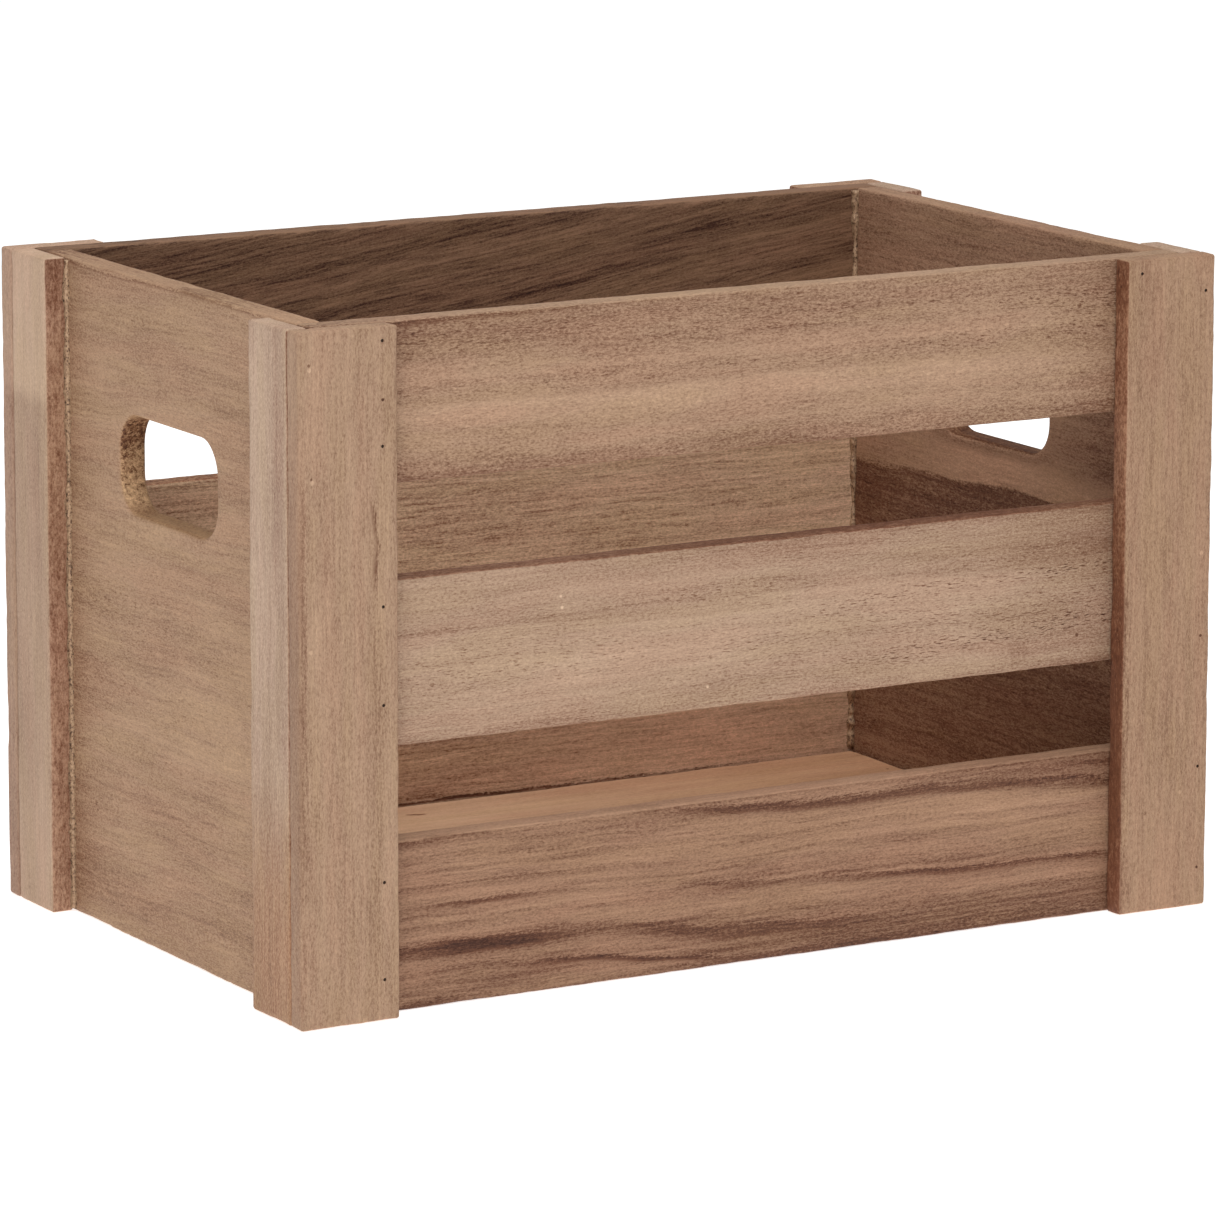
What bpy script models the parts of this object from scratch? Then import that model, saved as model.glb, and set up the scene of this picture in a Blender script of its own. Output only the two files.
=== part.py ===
"""A slatted wooden apple crate: boards, corner strips and the brads that hold them.

Metres, +Z up. X runs along the crate, Y towards its back, and the origin lies on the ground
under its middle. Run it with blender --background --python part.py, or from the text editor.
"""

import bmesh
import bpy
from mathutils import Matrix, Vector

# The crate's outer box.
LENGTH = 0.372
DEPTH = 0.232
HEIGHT = 0.240

# Stock sizes.
STRIP_THICKNESS = 0.0086
BOARD_THICKNESS = 0.0105
LONG_STRIP_WIDTH = 0.038
SIDE_STRIP_WIDTH = 0.028
FLOOR_THICKNESS = 0.009
CLEAT_WIDTH = 0.012
EDGE_RADIUS = 0.0009
JOINT_GAP = 0.0003

# Each long side has three slats: the heights of their lower and upper edges.
SLATS = {
    "bottom": (0.0, 0.060),
    "middle": (0.093, 0.151),
    "top": (0.184, HEIGHT),
}

# The floor lies loosely between the slats and panels, above the bottom edge.
FLOOR_TOP = 0.0192
FLOOR_END_GAP = 0.0005
FLOOR_SIDE_GAP = 0.0010

# The rounded slot in each end panel.
HAND_HOLE_LENGTH = 0.075
HAND_HOLE_HEIGHT = 0.035
HAND_HOLE_RADIUS = 0.013
HAND_HOLE_Z = 0.1725
HAND_HOLE_ARC_STEPS = 6

# Brads, set just under the surface of the wood, in bores that clear them.
BRAD_SHANK_RADIUS = 0.0005
BRAD_HEAD_RADIUS = 0.0007
BRAD_HEAD_HEIGHT = 0.0006
BRAD_POINT_LENGTH = 0.0015
BRAD_SIDES = 10
BRAD_SINK = 0.0004
SIDE_BRAD_LENGTH = 0.016
FLOOR_BRAD_LENGTH = 0.014
SLAT_BRAD_INSET = 0.006
SLAT_BRAD_HEIGHTS = {
    "bottom": (0.0145, 0.0485),
    "middle": (0.110, 0.144),
    "top": (0.199, 0.235),
}
CORNER_BRAD_HEIGHTS = (0.052, 0.131, 0.227)
FLOOR_BRAD_Y = 0.060

# Worked out from the sizes above, as distances from the crate's middle.
HALF_LENGTH = LENGTH / 2
HALF_DEPTH = DEPTH / 2
SLAT_OUTER_Y = HALF_DEPTH - STRIP_THICKNESS - JOINT_GAP
SLAT_INNER_Y = SLAT_OUTER_Y - BOARD_THICKNESS
PANEL_OUTER_X = HALF_LENGTH - STRIP_THICKNESS - JOINT_GAP
PANEL_INNER_X = PANEL_OUTER_X - BOARD_THICKNESS
CLEAT_TOP = FLOOR_TOP - FLOOR_THICKNESS - JOINT_GAP

ENDS = {"left": -1, "right": 1}
SIDES = {"front": -1, "back": 1}

# Base colour (linear), roughness and metallic value of each kind of piece.
FINISHES = {
    "end_panel_wood": ((0.37, 0.23, 0.15), 0.72, 0.0),
    "slat_wood": ((0.34, 0.21, 0.13), 0.70, 0.0),
    "strip_wood": ((0.41, 0.26, 0.18), 0.70, 0.0),
    "floor_wood": ((0.50, 0.31, 0.19), 0.62, 0.0),
    "cleat_wood": ((0.44, 0.28, 0.18), 0.75, 0.0),
    "brad_steel": ((0.20, 0.18, 0.16), 0.45, 1.0),
}


def clear_scene():
    for obj in list(bpy.data.objects):
        bpy.data.objects.remove(obj)


def new_collection(name):
    collection = bpy.data.collections.new(name)
    bpy.context.scene.collection.children.link(collection)
    return collection


def new_material(name, color, roughness, metallic):
    material = bpy.data.materials.new(name)
    material.use_nodes = True
    shader = material.node_tree.nodes["Principled BSDF"]
    shader.inputs["Base Color"].default_value = (*color, 1.0)
    shader.inputs["Roughness"].default_value = roughness
    shader.inputs["Metallic"].default_value = metallic
    material.diffuse_color = (*color, 1.0)
    return material


def box_mesh(name, size):
    """A box of that size about its own middle."""
    shape = bmesh.new()
    bmesh.ops.create_cube(shape, size=1.0, matrix=Matrix.Diagonal((*size, 1.0)))
    mesh = bpy.data.meshes.new(name)
    shape.to_mesh(mesh)
    shape.free()
    return mesh


def place(name, mesh, collection, location, rotation=None):
    obj = bpy.data.objects.new(name, mesh)
    collection.objects.link(obj)
    obj.location = location
    if rotation:
        obj.rotation_mode = "QUATERNION"
        obj.rotation_quaternion = rotation
    return obj


def span(sign, near, far):
    """Lower and upper end of a stretch near..far from the middle, on that side of it."""
    return (near, far) if sign > 0 else (-far, -near)


class Crate:
    """The crate's collections, materials and pieces, as they are added."""

    def __init__(self):
        self.parts = new_collection("apple_crate")
        self.cutters = new_collection("cutters")
        self.materials = {name: new_material(name, *finish) for name, finish in FINISHES.items()}
        self.brad_meshes = {}

    def finish(self, obj, material):
        obj.data.materials.clear()
        obj.data.materials.append(self.materials[material])
        return obj

    def board(self, name, material, x, y, z):
        """A board filling those spans, with its edges eased."""
        low = Vector((x[0], y[0], z[0]))
        high = Vector((x[1], y[1], z[1]))
        obj = place(name, box_mesh(name, high - low), self.parts, (low + high) / 2)
        ease = obj.modifiers.new("eased_edges", "BEVEL")
        ease.width = EDGE_RADIUS
        ease.segments = 2
        ease.limit_method = "NONE"
        return self.finish(obj, material)

    def cutter(self, name, mesh, location, rotation=None):
        obj = place(name, mesh, self.cutters, location, rotation)
        obj.hide_render = True
        obj.display_type = "WIRE"
        return obj

    def cut(self, obj, cutter):
        boolean = obj.modifiers.new(cutter.name, "BOOLEAN")
        boolean.operation = "DIFFERENCE"
        boolean.object = cutter

    def brad_mesh(self, length):
        """The turned outline of a brad: its head at the origin, its point at -Z. The Screw turns it."""
        if length not in self.brad_meshes:
            outline = [
                (0.0, 0.0),
                (BRAD_HEAD_RADIUS, 0.0),
                (BRAD_HEAD_RADIUS, -BRAD_HEAD_HEIGHT),
                (BRAD_SHANK_RADIUS, -BRAD_HEAD_HEIGHT),
                (BRAD_SHANK_RADIUS, BRAD_POINT_LENGTH - length),
                (0.0, -length),
            ]
            mesh = bpy.data.meshes.new(f"brad_{length * 1000:.0f}mm")
            edges = [(i, i + 1) for i in range(len(outline) - 1)]
            mesh.from_pydata([(radius, 0.0, z) for radius, z in outline], edges, [])
            self.brad_meshes[length] = mesh
        return self.brad_meshes[length]

    def brad(self, name, head, inward, length, boards):
        """A brad with its head at that point of the surface, driven inward through those boards."""
        turn = Vector((0.0, 0.0, -1.0)).rotation_difference(inward)
        brad = place(name, self.brad_mesh(length), self.parts, head + inward * BRAD_SINK, turn)
        screw = brad.modifiers.new("turned", "SCREW")
        screw.steps = screw.render_steps = BRAD_SIDES
        screw.use_merge_vertices = True
        screw.merge_threshold = 0.00001
        self.finish(brad, "brad_steel")
        bore = self.cutter(f"bore_{name}", self.bore_mesh(length), head, turn)
        for board in boards:
            self.cut(board, bore)

    def bore_mesh(self, length):
        """A round cutter from just outside the surface, at +Z, to just past the brad's point."""
        above = 0.002
        below = length + BRAD_SINK + JOINT_GAP
        shape = bmesh.new()
        bmesh.ops.create_cone(
            shape,
            cap_ends=True,
            segments=BRAD_SIDES,
            radius1=BRAD_HEAD_RADIUS + JOINT_GAP,
            radius2=BRAD_HEAD_RADIUS + JOINT_GAP,
            depth=above + below,
            matrix=Matrix.Translation((0.0, 0.0, (above - below) / 2)),
        )
        mesh = bpy.data.meshes.new("bore")
        shape.to_mesh(mesh)
        shape.free()
        return mesh


def add_end_panels(crate):
    half_width = SLAT_INNER_Y - JOINT_GAP
    panels = {}
    for end, sign in ENDS.items():
        panel = crate.board(
            f"end_panel_{end}",
            "end_panel_wood",
            span(sign, PANEL_INNER_X, PANEL_OUTER_X),
            (-half_width, half_width),
            (0.0, HEIGHT),
        )
        centre = (sign * (PANEL_INNER_X + PANEL_OUTER_X) / 2, 0.0, HAND_HOLE_Z)
        crate.cut(panel, crate.cutter(f"hand_hole_{end}", hand_hole_mesh(), centre))
        panels[end] = panel
    return panels


def hand_hole_mesh():
    """A bar along X, twice the panel's thickness, with its four long edges rounded."""
    shape = bmesh.new()
    size = (2 * BOARD_THICKNESS, HAND_HOLE_LENGTH, HAND_HOLE_HEIGHT)
    bmesh.ops.create_cube(shape, size=1.0, matrix=Matrix.Diagonal((*size, 1.0)))
    long_edges = [
        edge for edge in shape.edges if abs(edge.verts[0].co.x - edge.verts[1].co.x) > BOARD_THICKNESS
    ]
    bmesh.ops.bevel(
        shape,
        geom=long_edges,
        offset=HAND_HOLE_RADIUS,
        segments=HAND_HOLE_ARC_STEPS,
        profile=0.5,
        affect="EDGES",
    )
    mesh = bpy.data.meshes.new("hand_hole")
    shape.to_mesh(mesh)
    shape.free()
    return mesh


def add_slats(crate):
    slats = {}
    for side, sign in SIDES.items():
        for level, heights in SLATS.items():
            slats[side, level] = crate.board(
                f"slat_{side}_{level}",
                "slat_wood",
                (-PANEL_OUTER_X, PANEL_OUTER_X),
                span(sign, SLAT_INNER_Y, SLAT_OUTER_Y),
                heights,
            )
    return slats


def add_corner(crate, side, end, slats):
    """The long-face strip and the end-face strip of one corner, with the brads through the first."""
    across, along = SIDES[side], ENDS[end]
    corner = f"{side}_{end}"
    long_strip = crate.board(
        f"long_strip_{corner}",
        "strip_wood",
        span(along, HALF_LENGTH - LONG_STRIP_WIDTH, HALF_LENGTH),
        span(across, HALF_DEPTH - STRIP_THICKNESS, HALF_DEPTH),
        (0.0, HEIGHT),
    )
    side_strip = crate.board(
        f"side_strip_{corner}",
        "strip_wood",
        span(along, HALF_LENGTH - STRIP_THICKNESS, HALF_LENGTH),
        span(across, SLAT_OUTER_Y - SIDE_STRIP_WIDTH, SLAT_OUTER_Y),
        (0.0, HEIGHT),
    )
    inward = Vector((0.0, -across, 0.0))
    face_y = across * HALF_DEPTH
    slat_brad_x = along * (HALF_LENGTH - LONG_STRIP_WIDTH + SLAT_BRAD_INSET)
    for level, heights in SLAT_BRAD_HEIGHTS.items():
        for number, height in enumerate(heights, 1):
            head = Vector((slat_brad_x, face_y, height))
            boards = (long_strip, slats[side, level])
            crate.brad(f"slat_brad_{corner}_{level}_{number}", head, inward, SIDE_BRAD_LENGTH, boards)
    corner_brad_x = along * (HALF_LENGTH - STRIP_THICKNESS / 2)
    for number, height in enumerate(CORNER_BRAD_HEIGHTS, 1):
        head = Vector((corner_brad_x, face_y, height))
        boards = (long_strip, side_strip)
        crate.brad(f"corner_brad_{corner}_{number}", head, inward, SIDE_BRAD_LENGTH, boards)


def add_floor(crate):
    """The floor board, the cleats under its two ends, and the brads that hold it down."""
    half_length = PANEL_INNER_X - FLOOR_END_GAP
    half_depth = SLAT_INNER_Y - FLOOR_SIDE_GAP
    floor = crate.board(
        "floor_board",
        "floor_wood",
        (-half_length, half_length),
        (-half_depth, half_depth),
        (FLOOR_TOP - FLOOR_THICKNESS, FLOOR_TOP),
    )
    down = Vector((0.0, 0.0, -1.0))
    outer_x = PANEL_INNER_X - JOINT_GAP
    for end, sign in ENDS.items():
        cleat = crate.board(
            f"floor_cleat_{end}",
            "cleat_wood",
            span(sign, outer_x - CLEAT_WIDTH, outer_x),
            (-half_depth, half_depth),
            (0.0, CLEAT_TOP),
        )
        for number, y in enumerate((-FLOOR_BRAD_Y, FLOOR_BRAD_Y), 1):
            head = Vector((sign * (outer_x - CLEAT_WIDTH / 2), y, FLOOR_TOP))
            crate.brad(f"floor_brad_{end}_{number}", head, down, FLOOR_BRAD_LENGTH, (floor, cleat))


def main():
    clear_scene()
    crate = Crate()
    add_end_panels(crate)
    slats = add_slats(crate)
    for side in SIDES:
        for end in ENDS:
            add_corner(crate, side, end, slats)
    add_floor(crate)


main()
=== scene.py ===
"""The looks of a slatted wooden apple crate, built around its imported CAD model.

Each board gets a finely divided piece with eased, slightly worn edges and a wood of its own. The brads
stay as the CAD model has them and get a dull steel finish, and thin beads of dried glue are added at the
back. Lengths are in metres in the meshes, and in millimetres in the woods, where a place on a board is
written as (along the grain, across the board's face), in the crate's own coordinates.
"""

import math
from dataclasses import dataclass

import bmesh
import bpy
from mathutils import Matrix, Vector, noise


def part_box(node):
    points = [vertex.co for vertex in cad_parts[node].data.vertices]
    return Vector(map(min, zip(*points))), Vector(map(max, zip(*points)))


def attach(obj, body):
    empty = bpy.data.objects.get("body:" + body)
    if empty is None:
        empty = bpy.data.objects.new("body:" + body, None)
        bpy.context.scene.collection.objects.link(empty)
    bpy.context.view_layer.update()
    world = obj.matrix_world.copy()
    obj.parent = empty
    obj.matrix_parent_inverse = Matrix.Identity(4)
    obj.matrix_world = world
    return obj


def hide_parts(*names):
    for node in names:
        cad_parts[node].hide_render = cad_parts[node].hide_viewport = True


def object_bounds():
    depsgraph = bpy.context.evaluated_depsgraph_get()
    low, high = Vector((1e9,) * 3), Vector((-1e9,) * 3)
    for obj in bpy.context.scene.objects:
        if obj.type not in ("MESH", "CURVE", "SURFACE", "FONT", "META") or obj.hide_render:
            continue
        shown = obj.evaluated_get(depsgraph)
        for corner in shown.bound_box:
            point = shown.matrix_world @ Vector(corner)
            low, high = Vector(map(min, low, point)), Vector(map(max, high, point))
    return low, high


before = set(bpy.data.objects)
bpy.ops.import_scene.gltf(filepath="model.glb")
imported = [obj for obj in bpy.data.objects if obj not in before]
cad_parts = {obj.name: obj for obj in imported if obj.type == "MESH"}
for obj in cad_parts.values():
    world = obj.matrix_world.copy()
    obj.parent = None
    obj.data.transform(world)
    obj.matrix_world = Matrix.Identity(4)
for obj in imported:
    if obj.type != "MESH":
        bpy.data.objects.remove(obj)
cad_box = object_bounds()

MM = 0.001
X, Y, Z = 0, 1, 2

# The hand hole in each end panel, as (y, z).
HAND_HOLE_CENTRE = (0.0, 0.1725)
HAND_HOLE_SIZE = (0.075, 0.035)
HAND_HOLE_RADIUS = 0.013
HAND_HOLE_RIM = 0.0018

# ---------------------------------------------------------------- camera

CAMERA_AZIMUTH = math.radians(-30.13)
CAMERA_ELEVATION = math.radians(10.37)
CAMERA_ROLL = math.radians(0.11)
CAMERA_DISTANCE = 2.5113
CAMERA_OFFSET = (0.0014, 0.0279)
CAMERA_LENS = 203.95
CAMERA_SENSOR = 36.0
CAMERA_SHIFT_Y = -0.0902


def add_camera():
    """A long lens that looks at the crate's middle, moved a little right and up in its own view."""
    turn, lift = CAMERA_AZIMUTH, CAMERA_ELEVATION
    forward = Vector((-math.sin(turn) * math.cos(lift), math.cos(turn) * math.cos(lift), -math.sin(lift)))
    right = Vector((math.cos(turn), math.sin(turn), 0.0))
    up = right.cross(forward)
    low, high = cad_box
    middle = (Vector(low) + Vector(high)) / 2
    target = middle + right * CAMERA_OFFSET[0] + up * CAMERA_OFFSET[1]
    rolled_right = right * math.cos(CAMERA_ROLL) + up * math.sin(CAMERA_ROLL)
    rolled_up = rolled_right.cross(forward)
    lens = bpy.data.cameras.new("camera")
    lens.lens = CAMERA_LENS
    lens.sensor_width = CAMERA_SENSOR
    lens.shift_y = CAMERA_SHIFT_Y
    lens.clip_end = 20.0
    camera = bpy.data.objects.new("camera", lens)
    bpy.context.scene.collection.objects.link(camera)
    axes = Matrix((rolled_right, rolled_up, -forward)).transposed()
    camera.matrix_world = Matrix.Translation(target - forward * CAMERA_DISTANCE) @ axes.to_4x4()
    bpy.context.scene.camera = camera


# ---------------------------------------------------------------- material graphs


# A mix node has sockets for numbers, vectors and colours. These are the ones for colours.
MIX_FACTOR, MIX_A, MIX_B = 0, 6, 7
MIX_RESULT = 2

TO_MM = (1 / MM,) * 3


def linear(color):
    """The linear value of a colour written as sRGB numbers from 0 to 255."""
    return tuple((c / 255 / 12.92) if c <= 10 else ((c / 255 + 0.055) / 1.055) ** 2.4 for c in color)


class Graph:
    """One material's node tree, with a short call for each kind of node."""

    def __init__(self, name):
        self.material = bpy.data.materials.new(name)
        self.material.use_nodes = True
        self.tree = self.material.node_tree
        self.tree.nodes.clear()

    def node(self, kind, inputs=None, **settings):
        """A node with these settings, whose inputs take a value or another node's output."""
        node = self.tree.nodes.new(kind)
        for key, value in settings.items():
            setattr(node, key, value)
        for key, value in (inputs or {}).items():
            self.feed(node.inputs[key], value)
        return node

    def feed(self, socket, value):
        if isinstance(value, bpy.types.NodeSocket):
            self.tree.links.new(value, socket)
        else:
            socket.default_value = value

    def math(self, operation, *values, clamp=False):
        node = self.node("ShaderNodeMath", dict(enumerate(values)), operation=operation, use_clamp=clamp)
        return node.outputs[0]

    def vector_math(self, operation, *values):
        node = self.node("ShaderNodeVectorMath", dict(enumerate(values)), operation=operation)
        return node.outputs["Value" if operation in ("DOT_PRODUCT", "DISTANCE", "LENGTH") else "Vector"]

    def add(self, *values):
        total = values[0]
        for value in values[1:]:
            total = self.math("ADD", total, value)
        return total

    def times(self, value, factor):
        return self.math("MULTIPLY", value, factor)

    def fade(self, value, start, end, low=0.0, high=1.0, kind="SMOOTHSTEP"):
        """low where value is at start or before it, high from end on."""
        inputs = {"Value": value, "From Min": start, "From Max": end, "To Min": low, "To Max": high}
        return self.node("ShaderNodeMapRange", inputs, interpolation_type=kind).outputs["Result"]

    def split(self, vector):
        return self.node("ShaderNodeSeparateXYZ", {0: vector}).outputs

    def combine(self, x, y, z):
        return self.node("ShaderNodeCombineXYZ", {"X": x, "Y": y, "Z": z}).outputs[0]

    def noise(self, point, size, detail=2.0, roughness=0.5):
        """Noise about 0, from -0.5 to 0.5, with features of that size along each axis."""
        scaled = self.vector_math("DIVIDE", point, size)
        inputs = {"Vector": scaled, "Scale": 1.0, "Detail": detail, "Roughness": roughness}
        return self.math("SUBTRACT", self.node("ShaderNodeTexNoise", inputs).outputs[0], 0.5)

    def curve(self, value, points):
        """A smooth curve of the value through these points."""
        node = self.node("ShaderNodeFloatCurve", {"Value": value})
        node.mapping.use_clip = False
        handles = node.mapping.curves[0].points
        while len(handles) < len(points):
            handles.new(0.5, 0.5)
        for handle, point in zip(handles, points):
            handle.location = point
        node.mapping.update()
        return node.outputs[0]

    def ramp(self, value, stops):
        """The colour of the value between stops (position, colour)."""
        node = self.node("ShaderNodeValToRGB", {"Fac": value})
        elements = node.color_ramp.elements
        while len(elements) < len(stops):
            elements.new(0.5)
        for element, (position, color) in zip(elements, stops):
            element.position = position
            element.color = (*color, 1.0)
        return node.outputs["Color"]

    def tinted(self, color, amount, tint):
        """The colour multiplied by the tint, as far as amount says."""
        inputs = {MIX_FACTOR: amount, MIX_A: color, MIX_B: (*tint, 1.0)}
        node = self.node("ShaderNodeMix", inputs, data_type="RGBA", blend_type="MULTIPLY")
        return node.outputs[MIX_RESULT]

    def finish(self, color, roughness, height, bump, **constants):
        """Joins these to the surface. The constants go on the shader's own sockets."""
        normal = self.node(
            "ShaderNodeBump", {"Height": height, "Strength": bump, "Distance": MM}
        ).outputs["Normal"]
        inputs = {"Base Color": color, "Roughness": roughness, "Normal": normal, **constants}
        shader = self.node("ShaderNodeBsdfPrincipled", inputs)
        output = self.node("ShaderNodeOutputMaterial")
        self.tree.links.new(shader.outputs[0], output.inputs["Surface"])
        return self.material


# ---------------------------------------------------------------- wood


@dataclass
class Band:
    """A darker band, or a paler one where strength is below 0, along points (along, across, strength).

    It is at full strength within `flat` of its middle, then fades out over `below` and `above`. An inside
    band shows on the crate's inner side only.
    """

    points: tuple
    below: float
    above: float
    flat: float = 0.0
    inside: bool = False


@dataclass
class Spot:
    """A small round mark of that radius, darker, or paler where strength is below 0."""

    along: float
    across: float
    radius: float
    strength: float


@dataclass
class Pits:
    """Short dark pits in the grain along points (along, across, strength), that far below and above."""

    points: tuple
    reach: float


@dataclass
class Wood:
    """A board's own colour, and how strongly each part of its figure changes the tone.

    Each shade (from, to, strength) darkens the wood along the grain, more and more from one place to the
    other; the ones that reach a front slat's left end are painted shade where the slat meets the strip.
    slope is how much the grain leans. The pair of side edge values darkens the low and the high side edge,
    or pales it where it is below 0: partly the darker, redder wood of a sawn edge, partly painted light,
    where a top face is painted paler as highlight from above or darker as shadow under the board above.
    tanned (from, to) is where the colour turns tan along the grain. hole darkens the walls of a hand hole,
    where a large value is painted shade.
    """

    color: tuple
    seed: float
    wave: float = 1.2
    streaks: float = 0.18
    fibres: float = 0.24
    lines: float = 0.08
    pores: float = 0.07
    speckle: float = 0.60
    clouds: float = 0.16
    slope: float = 0.0
    shades: tuple = ()
    sawn_edges: tuple = (0.0, 0.0)
    tanned: tuple = ()
    hole: float = 0.0
    marks: tuple = ()


# Tone 0.5 is the board's own colour. The others are that colour times these.
TONES = (
    (0.00, (0.16, 0.085, 0.06)),
    (0.25, (0.45, 0.315, 0.26)),
    (0.50, (1.00, 1.00, 1.00)),
    (0.75, (1.42, 1.48, 1.52)),
    (1.00, (1.90, 2.05, 2.20)),
)
PINK = (1.015, 0.985, 0.985)
YELLOW = (0.995, 1.00, 0.965)
SAWN_RED = (1.07, 0.93, 0.87)
TANNED = (0.97, 0.86, 0.72)
HOLE_TINT = (1.00, 0.97, 0.84)
# Painted highlight: end grain is painted paler, which on the strips' tops stands in for light from above.
END_GRAIN_TOP_HIGHLIGHT = (1.14, 1.13, 1.12)
# Painted highlight, partly rubbed wood: edges are painted paler by this much, fading out this far (mm) in.
EDGE_WEAR_AND_HIGHLIGHT = 0.08
EDGE_WEAR_AND_HIGHLIGHT_WIDTH = 0.6
WOOD_ROUGHNESS = 0.68
WOOD_SPECULAR = 0.3
WOOD_BUMP = 0.5

# The size of each feature of the figure: along the grain, across the face and through the board.
WANDER_SIZE = (90.0, 22.0, 30.0)
RIPPLE_SIZE = (14.0, 5.0, 9.0)
STREAK_SIZE = (170.0, 7.0, 14.0)
FIBRE_SIZE = (20.0, 1.1, 1.6)
LINE_SIZE = (110.0, 1.7, 4.0)
SPECKLE_SIZE = (1.3, 0.6, 0.8)
CLOUD_SIZE = (60.0, 16.0, 20.0)
PORE_SIZE = (3.0, 0.4, 0.7)
PORE_GROUP_SIZE = (45.0, 9.0, 12.0)
HUE_SIZE = (60.0, 11.0, 30.0)
TORN_SIZE = (1.6, 1.3, 1.6)
SAW_MARK_SIZE = (3.0, 2.0, 1.6)

# How far apart one board's seed puts its part of the noise from the next one's.
SEED_STEP = (370.0, 91.0, 53.0)
# A band's place goes through its curve in units of 100 mm, because a curve holds small numbers.
CURVE_UNIT = 100.0
# The hand hole's walls reach this far past its outline, where its rim is rounded.
HOLE_WALL_REACH = 2.0
# Between these heights the walls of the hand hole get darker.
HOLE_DARKER = (163.0, 186.0)
# Between these heights the side edges of an upright get darker.
UPRIGHT_DARKER = (216.0, 232.0)


class WoodGraph(Graph):
    """The wood of one board, in millimetres along its grain, across its face and through its thickness."""

    def __init__(self, name, wood, grain, face, low, high):
        super().__init__(name)
        self.wood = wood
        axes = (grain, 3 - grain - face, face)
        self.upright = grain == Z
        self.low = [low[axis] / MM for axis in axes]
        self.high = [high[axis] / MM for axis in axes]
        coordinates = self.node("ShaderNodeTexCoord")
        place = self.split(self.vector_math("MULTIPLY", coordinates.outputs["Object"], TO_MM))
        normal = self.split(coordinates.outputs["Normal"])
        self.along, self.across, self.through = (place[axis] for axis in axes)
        self.normal = [normal[axis] for axis in axes]
        self.lay_fibres()
        self.draw_figure()

    def lay_fibres(self):
        """The fibres wander a little, and everything that follows them wanders with them."""
        wood = self.wood
        leaning = self.add(self.across, self.times(self.along, wood.slope))
        seed = tuple(wood.seed * step for step in SEED_STEP)
        straight = self.vector_math("ADD", self.combine(self.along, leaning, self.through), seed)
        wander = self.times(self.noise(straight, WANDER_SIZE), wood.wave * 4.0)
        ripple = self.times(self.noise(straight, RIPPLE_SIZE, 1.0), wood.wave * 0.7)
        shift = self.add(wander, ripple)
        self.point = self.vector_math("ADD", straight, self.combine(0.0, shift, 0.0))
        self.fibre_across = self.add(self.across, shift)

    def draw_figure(self):
        """The noises that the colour, the roughness and the bump share."""
        self.streak = self.noise(self.point, STREAK_SIZE, 3.0, 0.6)
        self.fibre = self.noise(self.point, FIBRE_SIZE, 3.0, 0.7)
        self.line = self.noise(self.point, LINE_SIZE, 2.0)
        self.speckle = self.noise(self.point, SPECKLE_SIZE, 2.0, 0.8)
        self.cloud = self.noise(self.point, CLOUD_SIZE)
        groups = self.fade(self.noise(self.point, PORE_GROUP_SIZE), -0.2, 0.14, 0.15, 1.0)
        self.pits = self.fade(self.noise(self.point, PORE_SIZE, 1.0), 0.08, 0.18)
        self.pores = self.times(self.pits, groups)

    def inner_side(self):
        """1 near the face that looks into the crate, 0 near the one that looks out."""
        depth = self.high[2] - self.low[2]
        if self.low[2] + self.high[2] > 0:
            return self.fade(self.through, self.low[2] + depth * 0.2, self.low[2] + depth * 0.6, 1.0, 0.0)
        return self.fade(self.through, self.high[2] - depth * 0.6, self.high[2] - depth * 0.2)

    def band(self, band):
        """How dark the band is at each point."""
        first, last = band.points[0][0], band.points[-1][0]
        position = self.fade(self.along, first, last, kind="LINEAR")
        places = [((along - first) / (last - first), across, dark) for along, across, dark in band.points]
        centre = self.curve(position, [(at, across / CURVE_UNIT) for at, across, _ in places])
        strength = self.curve(position, [(at, dark) for at, _, dark in places])
        ragged = self.add(self.fibre_across, self.times(self.fibre, 3.0), self.times(self.speckle, 2.0))
        offset = self.math("SUBTRACT", ragged, self.times(centre, CURVE_UNIT))
        upper = self.fade(offset, band.flat, band.flat + band.above, 1.0, 0.0)
        lower = self.fade(offset, -band.flat - band.below, -band.flat)
        dark = self.times(self.times(upper, lower), strength)
        return self.times(dark, self.inner_side()) if band.inside else dark

    def spot(self, spot):
        """How dark the spot is at each point."""
        here = self.combine(self.along, self.across, 0.0)
        distance = self.vector_math("DISTANCE", here, (spot.along, spot.across, 0.0))
        return self.fade(distance, spot.radius * 0.5, spot.radius, spot.strength, 0.0)

    def edge_distance(self):
        """The second smallest of the distances to the three pairs of faces."""
        places = (self.along, self.across, self.through)
        depths = []
        for place, low, high in zip(places, self.low, self.high):
            offset = self.math("ABSOLUTE", self.math("SUBTRACT", place, (low + high) / 2))
            depths.append(self.math("SUBTRACT", (high - low) / 2, offset))
        smaller = self.math("MINIMUM", depths[0], depths[1])
        larger = self.math("MAXIMUM", depths[0], depths[1])
        return self.math("MAXIMUM", smaller, self.math("MINIMUM", larger, depths[2]))

    def hole_wall(self):
        """1 on the walls of the hand hole, 0 elsewhere."""
        wall = self.fade(self.math("ABSOLUTE", self.normal[2]), 0.6, 0.95, 1.0, 0.0)
        for place, middle, width in zip((self.along, self.across), HAND_HOLE_CENTRE, HAND_HOLE_SIZE):
            offset = self.math("ABSOLUTE", self.math("SUBTRACT", place, middle / MM))
            reach = width / 2 / MM + HOLE_WALL_REACH
            wall = self.times(wall, self.fade(offset, reach, reach + 0.5, 1.0, 0.0))
        return wall

    def sawn_edges(self):
        """How much of a sawn edge each point is on, weighted by the two edges' darkness."""
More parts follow.
